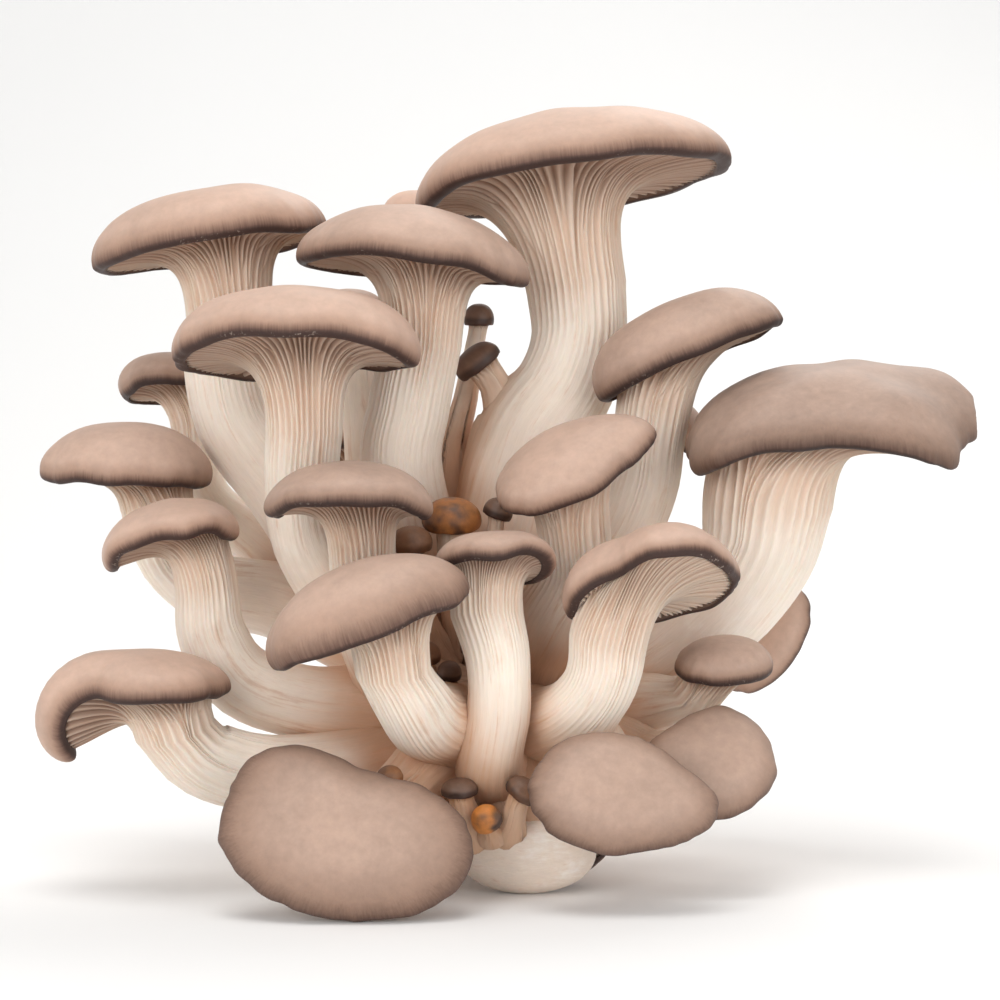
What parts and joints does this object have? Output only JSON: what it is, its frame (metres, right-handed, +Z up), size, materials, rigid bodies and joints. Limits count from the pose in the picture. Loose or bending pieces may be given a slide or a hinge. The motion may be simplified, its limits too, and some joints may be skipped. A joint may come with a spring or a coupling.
{
  "type": "oyster mushroom cluster",
  "caption": "Cluster of oyster mushrooms: domed brown caps with ribbed cream gills on curved stems that grow from one lumpy base, cut flat to stand on.",
  "frame": {"origin": "on the flat cut under the base, on the surface the cluster stands on", "axes": "+Z up, +X to the right of the cluster seen from its front, so the front faces -Y"},
  "size_m": [0.2317, 0.1488, 0.191],
  "materials": {
    "cap_skin": "satin matte brown skin, darker towards the margin",
    "pin_skin": "dark brown skin of the smallest caps",
    "flesh": "matte cream flesh, ribbed with gills"
  },
  "bodies": {
    "root": {"cap_back_left": "cap_skin", "cap_back_low": "cap_skin", "cap_back_right": "cap_skin", "cap_bottom_left": "cap_skin", "cap_bottom_right": "cap_skin", "cap_centre_right": "cap_skin", "cap_crown": "cap_skin", "cap_far_left": "cap_skin", "cap_far_right": "cap_skin", "cap_front_fan": "cap_skin", "cap_front_left": "cap_skin", "cap_front_right": "cap_skin", "cap_left_arched": "cap_skin", "cap_left_behind": "cap_skin", "cap_left_curled": "cap_skin", "cap_lower_right": "cap_skin", "cap_middle": "cap_skin", "cap_middle_behind": "cap_skin", "cap_middle_left": "cap_skin", "cap_right_behind": "cap_skin", "cap_right_hidden": "cap_skin", "cap_right_small": "cap_skin", "cap_top_behind": "cap_skin", "cap_under_base": "cap_skin", "cap_upper_left": "cap_skin", "cap_upper_middle": "cap_skin", "cap_upper_right": "cap_skin", "pin_golden": "pin_skin", "pin_hollow_left": "pin_skin", "pin_hollow_middle": "pin_skin", "pin_hooked": "pin_skin", "pin_low_dark": "pin_skin", "pin_low_grey": "pin_skin", "pin_low_left": "pin_skin", "pin_low_orange": "pin_skin", "pin_orange": "pin_skin", "pin_tall_high": "pin_skin", "pin_tall_slanted": "pin_skin", "pin_wrinkled": "pin_skin", "stems_and_gills": "flesh"}
  },
  "joints": []
}
